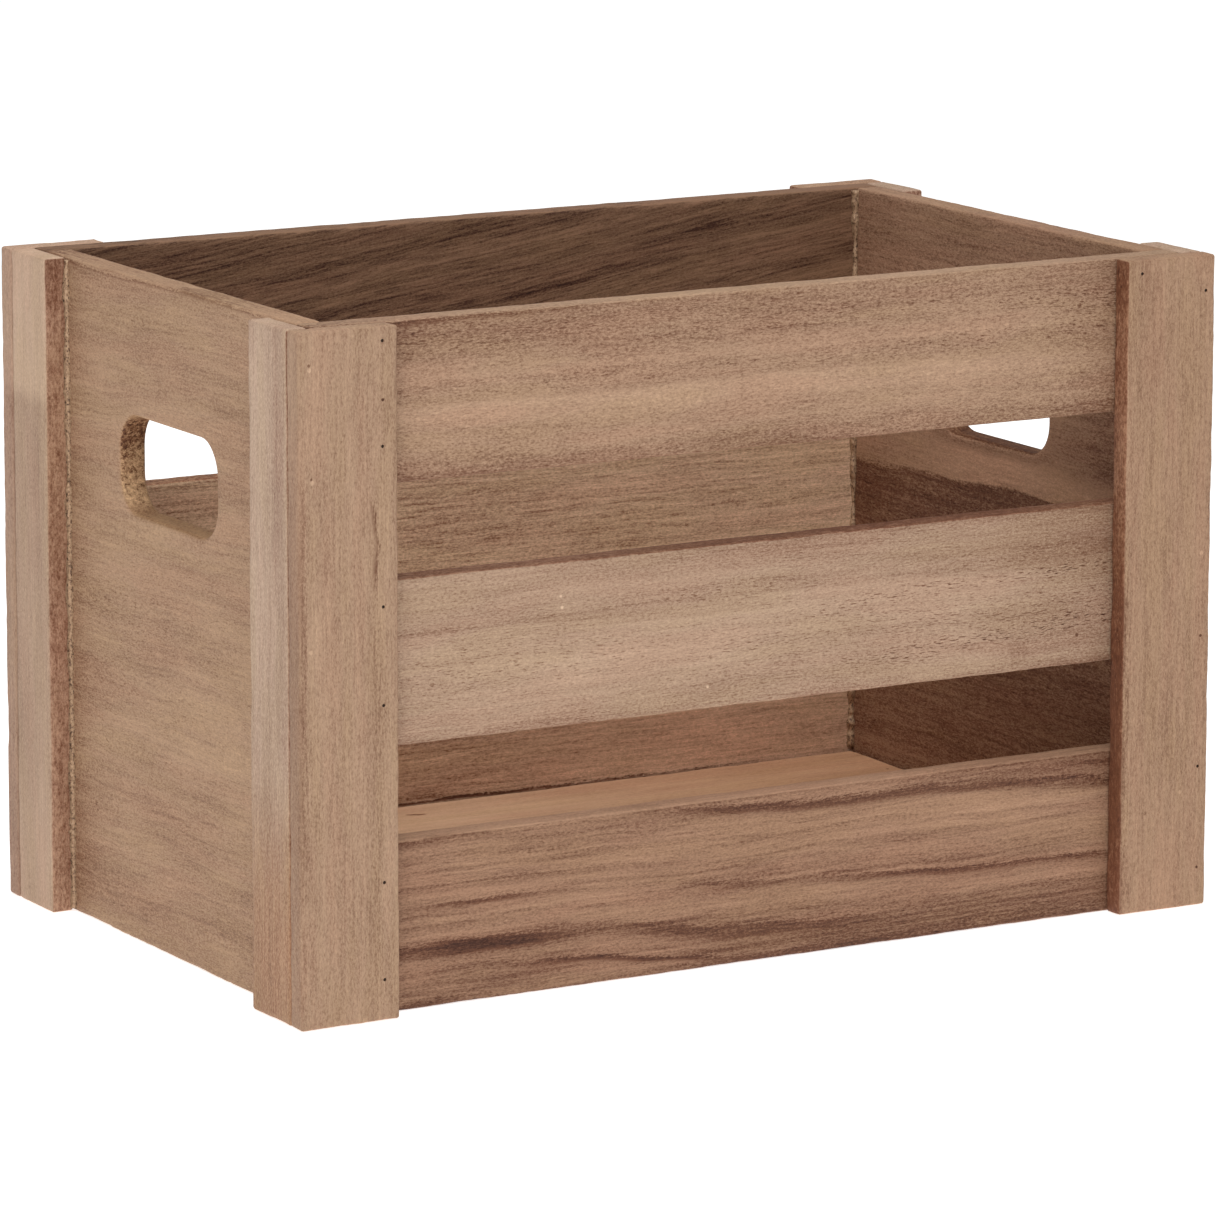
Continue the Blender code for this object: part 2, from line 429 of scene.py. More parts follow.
        # The low and high values are a sawn edge's darkness, and on some top faces painted light or shade.
        low, high = self.wood.sawn_edges
        upward = self.fade(self.normal[1], 0.5, 0.9, 0.0, high)
        downward = self.fade(self.normal[1], -0.9, -0.5, low, 0.0)
        edges = self.add(upward, downward)
        if not self.wood.hole:
            return edges
        return self.times(edges, self.math("SUBTRACT", 1.0, self.hole_wall()))

    def rough_hole(self):
        """The hand hole's walls: brown, with torn end grain that is darker towards the top."""
        end = self.fade(self.math("ABSOLUTE", self.normal[0]), 0.3, 0.8)
        torn = self.noise(self.point, TORN_SIZE, 3.0, 0.8)
        top = self.fade(self.across, *HOLE_DARKER, -0.16, 0.26)
        rough = self.times(end, self.add(top, self.times(torn, 2.2)))
        return self.times(self.hole_wall(), self.add(rough, self.wood.hole))

    def rough_edge(self):
        """Lightness added on the side edges: coarse saw marks, and a darker part high on an upright."""
        rough = self.times(self.noise(self.point, SAW_MARK_SIZE, 3.0, 0.8), 0.55)
        if self.upright:
            rough = self.add(rough, self.fade(self.along, *UPRIGHT_DARKER, 0.0, -0.10))
        return self.times(self.fade(self.sawn_edges(), 0.0, 0.1), rough)

    def shade(self, start, end, strength):
        """0 at start and before it, seen along the grain towards end, and strength from end on."""
        if start < end:
            return self.fade(self.along, start, end, 0.0, strength)
        return self.fade(self.along, end, start, strength, 0.0)

    def pitted(self, area):
        """How dark the pits of this area are at each point."""
        return self.times(self.band(Band(area.points, area.reach, area.reach)), self.pits)

    def tone(self):
        """The figure's lightness: 0.5 is the board's own colour."""
        wood = self.wood
        bands = [self.band(mark) for mark in wood.marks if isinstance(mark, Band)]
        spots = [self.spot(mark) for mark in wood.marks if isinstance(mark, Spot)]
        pits = [self.pitted(mark) for mark in wood.marks if isinstance(mark, Pits)]
        shades = [self.shade(start, end, -strength) for start, end, strength in wood.shades]
        if wood.hole:
            pits.append(self.rough_hole())
        dark = self.add(0.0, *bands)
        more_pores = self.fade(dark, 0.0, 0.15, 1.0, 2.5)
        # The edges painted paler: partly rubbed wood, partly painted highlight for the light along their
        # eased rims.
        edge_wear_and_highlight_distance = self.add(self.edge_distance(), self.times(self.speckle, 1.0))
        return self.add(
            0.5,
            self.times(self.streak, wood.streaks),
            self.times(self.fibre, wood.fibres),
            self.times(self.line, wood.lines),
            self.times(self.speckle, wood.speckle),
            self.times(self.cloud, wood.clouds),
            self.times(self.times(self.pores, more_pores), -wood.pores),
            self.times(self.add(dark, self.sawn_edges(), *spots, *pits), -1.0),
            self.rough_edge(),
            self.times(self.add(0.0, *shades), self.fade(self.sawn_edges(), 0.0, 0.1, 1.0, 0.0)),
            self.fade(edge_wear_and_highlight_distance, 0.1, EDGE_WEAR_AND_HIGHLIGHT_WIDTH, EDGE_WEAR_AND_HIGHLIGHT, 0.0),
        )

    def surface(self):
        """The finished material: the tone as a colour, tinted, with a little relief."""
        base = linear(self.wood.color)
        tones = [(at, tuple(b * t for b, t in zip(base, times))) for at, times in TONES]
        color = self.ramp(self.tone(), tones)
        hue = self.noise(self.point, HUE_SIZE)
        color = self.tinted(color, self.fade(hue, -0.03, 0.15), PINK)
        color = self.tinted(color, self.fade(hue, -0.15, 0.03, 1.0, 0.0), YELLOW)
        # Dark edges are reddened like sawn wood; this also reddens the front middle slat's painted shadow on
        # its top.
        color = self.tinted(color, self.fade(self.sawn_edges(), 0.0, 0.15), SAWN_RED)
        end = self.fade(self.math("ABSOLUTE", self.normal[0]), 0.6, 0.95)
        if self.wood.hole:
            color = self.tinted(color, self.hole_wall(), HOLE_TINT)
            end = self.times(end, self.math("SUBTRACT", 1.0, self.hole_wall()))
        # End grain, most of it the strips' tops, is painted paler as highlight from above.
        color = self.tinted(color, end, END_GRAIN_TOP_HIGHLIGHT)
        if self.wood.tanned:
            color = self.tinted(color, self.shade(*self.wood.tanned, 1.0), TANNED)
        roughness = self.add(WOOD_ROUGHNESS, self.times(self.fibre, 0.3), self.times(self.pores, 0.15))
        height = self.add(
            self.times(self.fibre, 0.25),
            self.times(self.pores, -0.2),
            self.times(self.speckle, 0.15),
        )
        return self.finish(color, roughness, height, WOOD_BUMP, **{"Specular IOR Level": WOOD_SPECULAR})


def steel_material():
    """Blackened brad steel with a little rust."""
    graph = Graph("brad_steel_dull")
    place = graph.node("ShaderNodeTexCoord").outputs["Object"]
    point = graph.vector_math("MULTIPLY", place, TO_MM)
    patches = graph.noise(point, (0.5, 0.5, 0.5), 3.0)
    black, rust = linear((36, 26, 20)), linear((64, 44, 32))
    color = graph.ramp(graph.fade(patches, -0.2, 0.2), [(0.0, black), (1.0, rust)])
    return graph.finish(color, graph.add(0.5, patches), patches, 0.2, **{"Specular IOR Level": 0.2})


# ---------------------------------------------------------------- meshes

EDGE_RADIUS = 0.0010
CELL = 0.0025
DRILL_RADIUS = 0.00062
DRILL_DEPTH = 0.0010

# Wear reaches this far in from an edge. Both its noises and the faces' waves are counted per metre.
WEAR_REACH = 2.2 * EDGE_RADIUS
WORN_DEPTH = 0.00035
COARSE_WEAR = 55.0
FINE_WEAR = 260.0
WAVINESS = 0.00010
WAVES = 22.0

# Edges that turn more than this are corners: of a panel's outline, and in the shading.
OUTLINE_ANGLE = math.radians(60)
SHADING_ANGLE = math.radians(40)


def ease_edges(shape, edges, radius):
    """Rounds these edges."""
    bmesh.ops.bevel(shape, geom=edges, offset=radius, segments=3, profile=0.5, affect="EDGES")


def cut_grid(shape, low, high):
    """Divides the shape by planes about one cell apart along each axis."""
    for axis in range(3):
        count = max(2, round((high[axis] - low[axis]) / CELL))
        normal = Vector((0.0, 0.0, 0.0))
        normal[axis] = 1.0
        for step in range(1, count):
            at = low.lerp(high, step / count)
            geometry = shape.verts[:] + shape.edges[:] + shape.faces[:]
            bmesh.ops.bisect_plane(shape, geom=geometry, dist=1e-7, plane_co=at, plane_no=normal)


def weather(shape, low, high):
    """Wears the edges unevenly and makes the faces slightly wavy, always inwards."""
    for vertex in shape.verts:
        to_low, to_high = vertex.co - low, high - vertex.co
        depth = [min(to_low[a], to_high[a]) for a in range(3)]
        inward = Vector([1.0 if to_low[a] < to_high[a] else -1.0 for a in range(3)])
        near = [max(0.0, 1.0 - d / WEAR_REACH) for d in depth]
        edge = sorted(near)[1]
        coarse = noise.noise(vertex.co * COARSE_WEAR)
        fine = noise.noise(vertex.co * FINE_WEAR)
        wear = WORN_DEPTH * edge * max(0.0, 0.35 + coarse + 0.6 * fine)
        wave = WAVINESS * (0.5 + 0.5 * noise.noise(vertex.co * WAVES))
        for a in range(3):
            vertex.co[a] += inward[a] * (wear + wave) * (near[a] if depth[a] > 1e-6 else 1.0)


def box_shape(low, high):
    """A board: a box with eased edges."""
    shape = bmesh.new()
    scale = Matrix.Diagonal((*(high - low), 1.0))
    bmesh.ops.create_cube(shape, size=1.0, matrix=Matrix.Translation((low + high) / 2) @ scale)
    ease_edges(shape, shape.edges[:], EDGE_RADIUS)
    return shape


def rounded_outline(centre, size, radius, steps=10):
    """Points round a rectangle with round corners."""
    half = (size[0] / 2 - radius, size[1] / 2 - radius)
    corners = ((1, 1), (-1, 1), (-1, -1), (1, -1))
    points = []
    for quarter, (sx, sy) in enumerate(corners):
        for step in range(steps + 1):
            angle = math.pi / 2 * (quarter + step / steps)
            x = centre[0] + sx * half[0] + radius * math.cos(angle)
            y = centre[1] + sy * half[1] + radius * math.sin(angle)
            points.append((x, y))
    return points


def closed_loop(shape, x, points):
    """Edges through the points (y, z) at x, and back to the first one."""
    corners = [shape.verts.new((x, *point)) for point in points]
    return [shape.edges.new((corners[i - 1], corners[i])) for i in range(len(corners))]


def holed_panel_shape(low, high):
    """An end panel: a flat outline with the hand hole in it, pulled out to its thickness."""
    shape = bmesh.new()
    outer = [(low.y, low.z), (high.y, low.z), (high.y, high.z), (low.y, high.z)]
    hole = rounded_outline(HAND_HOLE_CENTRE, HAND_HOLE_SIZE, HAND_HOLE_RADIUS)
    edges = closed_loop(shape, low.x, outer) + closed_loop(shape, low.x, hole)
    bmesh.ops.triangle_fill(shape, use_beauty=True, edges=edges)
    pulled = bmesh.ops.extrude_face_region(shape, geom=shape.faces[:])
    moved = [item for item in pulled["geom"] if isinstance(item, bmesh.types.BMVert)]
    bmesh.ops.translate(shape, verts=moved, vec=(high.x - low.x, 0.0, 0.0))
    bmesh.ops.recalc_face_normals(shape, faces=shape.faces[:])
    sharp = [edge for edge in shape.edges if edge.calc_face_angle(0.0) > OUTLINE_ANGLE]
    rim = [edge for edge in sharp if all(in_hole(v.co) for v in edge.verts)]
    outline = [edge for edge in sharp if edge not in rim]
    ease_edges(shape, rim, HAND_HOLE_RIM)
    outline = [edge for edge in outline if edge.is_valid]
    ease_edges(shape, outline, EDGE_RADIUS)
    return shape


def in_hole(point):
    """Whether the point is inside the hand hole's outline or just past it."""
    return (
        abs(point.y - HAND_HOLE_CENTRE[0]) < HAND_HOLE_SIZE[0] / 2 + MM
        and abs(point.z - HAND_HOLE_CENTRE[1]) < HAND_HOLE_SIZE[1] / 2 + MM
    )


def mesh_of(name, shape):
    """The shape as a mesh. The shape itself is freed."""
    mesh = bpy.data.meshes.new(name)
    shape.to_mesh(mesh)
    shape.free()
    return mesh


def add_object(name, mesh):
    obj = bpy.data.objects.new(name, mesh)
    bpy.context.scene.collection.objects.link(obj)
    return obj


def smooth(obj):
    """Smooth shading, except over sharp corners."""
    obj.data.shade_smooth()
    obj.data.set_sharp_from_angle(angle=SHADING_ANGLE)


def drill(board, heads, inward):
    """Cuts a shallow round hole for each brad head."""
    shape = bmesh.new()
    turn = Vector((0.0, 0.0, -1.0)).rotation_difference(inward).to_matrix().to_4x4()
    for head in heads:
        bmesh.ops.create_cone(
            shape,
            cap_ends=True,
            segments=14,
            radius1=DRILL_RADIUS,
            radius2=DRILL_RADIUS,
            depth=2 * DRILL_DEPTH,
            matrix=Matrix.Translation(head) @ turn,
        )
    cutter = add_object("drill", mesh_of("drill", shape))
    boolean = board.modifiers.new("drilled", "BOOLEAN")
    boolean.operation = "DIFFERENCE"
    boolean.object = cutter
    graph = bpy.context.evaluated_depsgraph_get()
    drilled = bpy.data.meshes.new_from_object(board.evaluated_get(graph), depsgraph=graph)
    board.modifiers.clear()
    board.data = drilled
    bpy.data.objects.remove(cutter)


# ---------------------------------------------------------------- the boards' woods

STRIP = {"streaks": 0.14, "fibres": 0.36, "pores": 0.03, "wave": 0.5, "sawn_edges": (0.10, 0.10)}


def strip_wood(color, seed, **changes):
    """The straight, plain wood of an upright strip."""
    return Wood(color, seed, **{**STRIP, **changes})


WOODS = {
    "slat_front_top": Wood(
        (161, 129, 104),
        2.0,
        # Its top face is painted paler: partly its planed wood, partly painted highlight from the light
        # above.
        sawn_edges=(0.0, -0.17),
        speckle=0.85,
        pores=0.04,
        # The shade from -136 to -148 is painted shade, where the slat meets the left strip.
        shades=((112, 142, 0.05), (-136, -148, 0.05), (-70, 80, -0.028)),
        marks=(
            Band(((-148, 233, 0.14), (-110, 233, 0.10), (-60, 233, 0.08), (60, 233, 0.07), (150, 233, 0.07)),
                 7, 6, flat=6),
            Band(((-148, 238.8, 0.16), (-110, 238.8, 0.12), (-60, 238.8, 0.05), (0, 238.8, 0.0)),
                 1.0, 0.6, flat=0.3),
            Band(((-148, 218.5, -0.03), (150, 218.5, -0.04)), 2, 3),
            Band(((-148, 213, 0.03), (60, 213, 0.03), (120, 213, 0.03), (150, 213, 0.05)), 1.0, 4, flat=2),
            Band(((-148, 207, -0.10), (60, 207, -0.09), (110, 206, -0.06), (150, 206, -0.02)),
                 8, 2.0, flat=1),
            Band(((-12, 226, 0.0), (0, 226, 0.08), (30, 226, 0.08), (42, 226, 0.0)), 1.0, 1.0),
            Band(((-148, 184, 0.15), (0, 184, 0.14), (150, 184, 0.15)), 4, 9, flat=1),
            Pits(((-148, 232, 0.13), (0, 229, 0.11), (150, 224, 0.18)), 12),
            Pits(((-148, 214, 0.06), (0, 214, 0.11), (150, 216, 0.12)), 5),
            Spot(128.0, 222.0, 1.0, 0.12),
            Spot(133.0, 224.0, 1.2, 0.14),
            Spot(138.0, 221.0, 0.9, 0.12),
        ),
    ),
    "slat_front_middle": Wood(
        (175, 146, 122),
        3.0,
        # Its top face is painted darker: painted shadow under the top slat.
        sawn_edges=(0.0, 0.16),
        # The shade from -136 to -148 is painted shade, where the slat meets the left strip.
        shades=((80, 142, 0.08), (-136, -148, 0.04), (-40, 80, 0.02)),
        marks=(
            Band(((-148, 145, 0.01), (-60, 144, 0.04), (0, 144, 0.06), (90, 143, 0.05), (150, 146, 0.03)),
                 2.0, 8, flat=11),
            Band(((-148, 131.5, 0.10), (-120, 131.5, 0.08), (-60, 132.5, 0.04), (-20, 133, 0.0)), 1.6, 1.2),
            Band(((-70, 132, 0.0), (-44, 132, 0.05), (20, 132, 0.05), (60, 132, 0.01)), 4, 3, flat=3),
            Band(((-148, 93, 0.12), (-60, 93, 0.09), (150, 93, 0.06)), 1, 5),
            Band(((-148, 98, 0.03), (150, 98, 0.03)), 6, 8),
            Pits(((20, 124, 0.0), (60, 126, 0.25), (150, 129, 0.28)), 3.5),
            Pits(((20, 100, 0.0), (60, 104, 0.28), (150, 110, 0.30)), 5),
            Pits(((-148, 115, 0.10), (150, 116, 0.12)), 20),
            Spot(-80.0, 139.0, 0.7, -0.3),
            Spot(-79.5, 135.0, 0.8, -0.3),
            Spot(-21.0, 101.0, 0.7, -0.3),
            Spot(109.0, 100.0, 5.0, 0.04),
            Spot(134.0, 104.0, 0.9, 0.25),
        ),
    ),
    "slat_front_bottom": Wood(
        (148, 113, 89),
        4.0,
        wave=1.6,
        streaks=0.34,
        fibres=0.50,
        lines=0.34,
        speckle=0.75,
        # Its top face is painted paler: painted highlight from the light above.
        sawn_edges=(0.0, -0.34),
        # The shade from -136 to -148 is painted shade, where the slat meets the left strip.
        shades=((-136, -148, 0.04), (50, 100, -0.04)),
        marks=(
            Band(((-148, 58.4, 0.18), (-118, 58.4, 0.12), (-90, 58.4, 0.07), (150, 58.4, 0.08)),
                 1.5, 0.6, flat=0.6),
            Band(((-50, 58, 0.0), (-36, 57.5, 0.08), (-12, 56, 0.26), (12, 55, 0.30), (36, 54, 0.30),
                  (60, 53.3, 0.26), (84, 52, 0.24), (108, 50.8, 0.24), (150, 48.8, 0.26)),
                 3.0, 2.5, flat=0.4),
            Band(((50, 57, 0.0), (80, 57, 0.12), (110, 56, 0.14), (150, 56, 0.16)), 3, 5, flat=2),
            Band(((-20, 44, 0.0), (0, 44, 0.05), (70, 44, 0.04), (100, 45, 0.0)), 3, 3),
            Band(((-148, 42, 0.08), (-108, 41, 0.12), (-60, 41, 0.09), (-20, 40, 0.0)), 3, 2),
            Band(((-140, 35, 0.0), (-120, 34.8, 0.16), (-106, 35, 0.24), (-90, 35.2, 0.14), (-72, 35.5, 0.0)),
                 2.0, 1.4),
            Band(((-45, 36, 0.0), (-25, 36.5, 0.08), (-8, 36, 0.10), (5, 36, 0.0)), 2.5, 2.5),
            Band(((-148, 31, -0.05), (-70, 31, -0.05), (-40, 30, 0.0)), 3, 3),
            Band(((5, 37, 0.0), (30, 36, -0.05), (74, 33, -0.08), (116, 33, -0.10), (150, 33, -0.02)), 4, 3),
            Band(((-140, 16, 0.0), (-116, 16, 0.10), (-90, 14, 0.10), (-60, 13, 0.0)), 9, 9, flat=3),
            Band(((-148, 21, 0.22), (-132, 21, 0.24), (-116, 21, 0.29), (-104, 20.6, 0.28), (-92, 20.5, 0.22),
                  (-80, 20.5, 0.12), (-60, 20, 0.12), (-36, 16.3, 0.20), (-12, 13, 0.17), (12, 11.5, 0.14),
                  (36, 10, 0.09), (60, 9, 0.0)), 4.0, 2.6, flat=0.8),
            Band(((-105, 12, 0.0), (-90, 11.4, 0.14), (-75, 10.6, 0.24), (-60, 8.6, 0.30), (-36, 5.5, 0.26),
                  (-12, 3, 0.12), (4, 1, 0.0)), 1.8, 1.4),
            Band(((-148, 1, 0.20), (-125, 2, 0.16), (-100, 2, 0.0)), 4, 3),
            Band(((-60, 0, 0.0), (-30, 0, 0.10), (150, 0, 0.12)), 1, 4),
            Band(((-38, 31, 0.0), (-24, 30.5, 0.14), (-12, 29.6, 0.20), (4, 28.4, 0.16), (24, 27, 0.09),
                  (40, 26, 0.16), (60, 25.3, 0.24), (84, 24, 0.26), (108, 23, 0.26), (150, 21.4, 0.22)),
                 3.0, 2.0),
            Band(((5, 23, 0.0), (36, 21.5, -0.05), (60, 20, -0.05), (84, 18.5, -0.06), (108, 17, -0.10),
                  (150, 15.5, -0.05)), 3, 2.5),
            Band(((-30, 5, 0.05), (-10, 6, 0.10), (12, 6, 0.13), (60, 6, 0.14), (110, 5, 0.14),
                  (150, 5, 0.13)), 6, 8, flat=4),
        ),
    ),
    "slat_back_top": Wood(
        (105, 76, 56),
        5.0,
        streaks=1.0,
        fibres=1.7,
        lines=0.5,
        pores=0.15,
        speckle=1.2,
        slope=-0.14,
        # Its top face is painted paler: partly paler sawn wood, partly painted highlight from the light
        # above.
        sawn_edges=(0.0, -0.42),
        shades=((-130, 60, -0.15), (60, 140, -0.08)),
    ),
    "slat_back_middle": Wood(
        (197, 163, 134),
        6.0,
        fibres=0.7,
        lines=0.3,
        speckle=0.9,
        sawn_edges=(0.0, 0.15),
        shades=((0, 160, -0.08),),
    ),
    "slat_back_bottom": Wood(
        (186, 151, 125),
        7.0,
        fibres=0.8,
        lines=0.4,
        speckle=0.9,
        pores=0.14,
        shades=((-60, 120, -0.17),),
        marks=(
            Band(((-148, 19.4, 0.20), (-60, 19.4, 0.24), (0, 19.6, 0.36), (20, 19.5, 0.28), (105, 19.5, 0.22),
                  (125, 19.5, 0.0)), 0.8, 0.4, flat=0.3, inside=True),
        ),
    ),
    "end_panel_left": Wood(
        (166, 133, 105),
        8.0,
        slope=0.03,
        wave=2.0,
        fibres=0.32,
        lines=0.14,
        pores=0.03,
        speckle=0.65,
        clouds=0.24,
        # Its top face is painted a little paler: painted highlight from the light above.
        sawn_edges=(0.0, -0.06),
        hole=0.06,
        shades=((50, 79, 0.06),),
        marks=(
            Band(((-79, 237, 0.04), (79, 237, 0.06)), 7, 6),
            Band(((-79, 239, 0.12), (79, 239, 0.14)), 1.0, 0.8),
            Pits(((-79, 110, 0.03), (79, 110, 0.07)), 60),
            Band(((-79, 20, 0.045), (79, 20, 0.045)), 30, 60),
            Spot(60.0, 44.0, 1.3, 0.15),
            Spot(59.0, 41.5, 0.8, 0.12),
        ),
    ),
    "end_panel_right": Wood(
        (154, 119, 94),
        9.0,
        wave=2.0,
        fibres=0.45,
        lines=0.2,
        speckle=0.9,
        # Painted shade: the hand hole's walls are painted dark.
        hole=0.24,
        # Painted highlight: its top face is painted paler.
        sawn_edges=(0.0, -0.10),
        marks=(
            # Painted shadow over the inner face below about 135 mm.
            Band(((-97, 137, 0.25), (0, 138, 0.24), (97, 133, 0.23)), 150, 2.0, inside=True),
            # Painted shade low on the inner face, towards the floor.
            Band(((-97, 10, 0.06), (0, 10, 0.10), (97, 10, 0.06)), 40, 70, inside=True),
            Band(((-97, 15, -0.04), (97, 15, -0.04)), 14, 0.8, flat=13, inside=True),
            # Painted pool of light in a strip just above the painted shadow.
            Band(((-97, 143, -0.10), (-60, 144, -0.20), (-10, 144, -0.26), (20, 142, -0.20), (60, 139, -0.06),
                  (97, 137, -0.03)), 3, 7, flat=2.5, inside=True),
            # A paler painted band of light higher up the inner face.
            Band(((-80, 160, 0.0), (-40, 160, -0.11), (40, 160, -0.14), (97, 158, -0.14)),
                 20, 24, flat=6, inside=True),
            Band(((-97, 165, 0.12), (-60, 165, 0.10), (-35, 165, 0.0)), 18, 18, flat=4, inside=True),
            # Painted shadow just under the hand hole.
            Band(((-44, 154, 0.0), (-34, 154, 0.14), (34, 154, 0.14), (44, 154, 0.0)), 6, 3, inside=True),
        ),
    ),
    "floor_board": Wood(
        (212, 173, 140),
        10.0,
        streaks=0.10,
        fibres=0.10,
        pores=0.04,
        speckle=0.20,
        shades=((-130, 130, 0.11),),
        tanned=(-40, 330),
        marks=(
            Band(((-39, 82, 0.0), (-36, 81, 0.32), (-34, 80.5, 0.32), (-31, 80, 0.0)), 1.0, 1.0, flat=0.3),
        ),
    ),
    "floor_cleat_left": Wood((176, 140, 112), 11.0),
    "floor_cleat_right": Wood((176, 140, 112), 12.0),
    "long_strip_front_left": strip_wood(
        (163, 132, 107),
        13.0,
        sawn_edges=(0.01, 0.10),
        marks=(
            Band(((146, -156.6, 0.0), (152, -157.0, 0.12), (162, -156.4, 0.17), (165, -155.6, 0.22),
                  (170, -156.6, 0.16), (178, -157.6, 0.15), (183, -158.4, 0.0)), 1.3, 1.2),
            Band(((40, -186, 0.03), (90, -185, 0.06), (130, -185, 0.10), (160, -185, 0.10),
                  (210, -185, 0.03)), 2, 3),
            Band(((60, -158, 0.04), (110, -157, 0.05), (150, -158, 0.0)), 4, 3),
            Spot(227.0, -181.7, 1.0, -0.22),
            Spot(228.6, -181.9, 0.7, 0.25),
            Spot(188.7, -180.9, 1.1, -0.22),
            Spot(190.0, -181.2, 0.6, 0.20),
            Spot(131.0, -181.7, 1.0, -0.18),
            Spot(214.9, -153.9, 0.7, 0.45),
        ),
    ),
    "long_strip_front_right": strip_wood(
        (161, 128, 102),
        14.0,
        # Its left edge is painted darker: partly its sawn wood, partly painted shade where it stands beside
        # the slats.
        sawn_edges=(0.17, 0.0),
        shades=((70, 15, -0.04),),
        marks=(
            # Painted shade along the strip's left edge, where it meets the slats.
            Band(((0, 148.5, 0.14), (60, 148.5, 0.16), (110, 148.5, 0.12), (150, 148.5, 0.0)), 1, 3),
            Band(((100, 173, 0.0), (150, 172, 0.03), (190, 172, 0.04), (240, 172, 0.0)), 5, 8),
            Spot(131.0, 181.7, 1.1, -0.18),
            Spot(43.2, 174.0, 1.0, -0.15),
            Spot(37.0, 158.7, 0.9, 0.15),
            Spot(100.5, 182.0, 0.7, 0.4),
            Spot(14.3, 182.0, 0.7, 0.4),
        ),
    ),
    "long_strip_back_left": strip_wood(
        (160, 130, 109), 15.0, sawn_edges=(0.03, 0.10), shades=((183, 193, -0.19),)
    ),
    "long_strip_back_right": strip_wood((168, 135, 110), 16.0),
    "side_strip_front_left": strip_wood(
        (180, 152, 130),
        17.0,
        shades=((100, 30, 0.10),),
        tanned=(95, 35),
        marks=(Band(((90, -103, 0.0), (150, -102, 0.06), (190, -101, 0.07), (240, -102, 0.05)), 8, 8),),
    ),
    "side_strip_back_left": strip_wood(
        (170, 141, 118), 18.0, sawn_edges=(0.11, 0.10), shades=((184, 193, -0.16), (70, 20, -0.05))
    ),
    "side_strip_front_right": strip_wood((176, 148, 127), 19.0),
    "side_strip_back_right": strip_wood((176, 148, 127), 20.0),
}

# Each kind of board: the axis of its grain, the axis that its face looks along, and its material slot.
KINDS = {
    "slat": (X, Y, "slat_wood"),
    "end_panel": (Y, X, "end_panel_wood"),
    "floor_board": (X, Z, "floor_wood"),
    "floor_cleat": (Y, Z, "cleat_wood"),
    "long_strip": (Z, Y, "strip_wood"),
    "side_strip": (Z, X, "strip_wood"),
}


def kind_of(node):
    """The values of this board's kind."""
    return next(values for kind, values in KINDS.items() if node.startswith(kind))


# Brads whose holes were filled, so that no hole shows.
FILLED = (
    "corner_brad_front_left_1",
    "corner_brad_front_left_2",
    "corner_brad_front_left_3",
    "corner_brad_front_right_2",
    "slat_brad_front_right_bottom_1",
    "slat_brad_front_right_bottom_2",
    "slat_brad_front_right_middle_1",
    "slat_brad_front_right_middle_2",
    "slat_brad_front_right_top_1",
)


def brad_heads(board):
    """Where the brads that enter this board through its face have their heads, and which way they go."""
    if board == "floor_board":
        names = [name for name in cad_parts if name.startswith("floor_brad")]
        inward = Vector((0.0, 0.0, -1.0))
    elif board.startswith("long_strip"):
        corner = board.removeprefix("long_strip_")
        names = [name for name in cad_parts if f"brad_{corner}_" in name]
        inward = Vector((0.0, 1.0 if "front" in corner else -1.0, 0.0))
    else:
        return [], None
    axis = Z if board == "floor_board" else Y
    heads = []
    for name in sorted(set(names) - set(FILLED)):
        low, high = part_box(name)
        head = (low + high) / 2
        board_low, board_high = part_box(board)
        head[axis] = board_low[axis] if inward[axis] > 0 else board_high[axis]
        heads.append(head)
    return heads, inward


def add_board(node):
    """The piece that replaces one of the CAD model's boards."""
    grain, face, slot = kind_of(node)
    low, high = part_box(node)
    shape = holed_panel_shape(low, high) if node.startswith("end_panel") else box_shape(low, high)
    cut_grid(shape, low, high)
    weather(shape, low, high)
    board = add_object(f"{node}_board", mesh_of(node, shape))
    heads, inward = brad_heads(node)
    if heads:
        drill(board, heads, inward)
    wood = WoodGraph(f"{node}_wood", WOODS[node], grain, face, low, high).surface()
    board.data.materials.clear()
    board.data.materials.append(wood)
    smooth(board)
    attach(board, "root")
    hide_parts(node)


def add_boards():
    for node in sorted(WOODS):
        add_board(node)


# ---------------------------------------------------------------- glue

GLUE_WIDTH = 0.0021
GLUE_STEP = 0.0015
GLUE_TUCK = 0.0003


def glue_material():
    """Dried glue with wood dust in it, and dark specks."""
    graph = Graph("dried_glue")
    place = graph.node("ShaderNodeTexCoord").outputs["Object"]
    point = graph.vector_math("MULTIPLY", place, TO_MM)
    specks = graph.noise(point, (0.8, 0.8, 1.1), 2.0, 0.7)
    pale, dusty, dark = linear((192, 160, 128)), linear((168, 134, 104)), linear((84, 60, 44))
    color = graph.ramp(graph.fade(specks, -0.2, 0.2), [(0.0, pale), (0.65, dusty), (1.0, dark)])
    return graph.finish(color, 0.6, specks, 0.4)


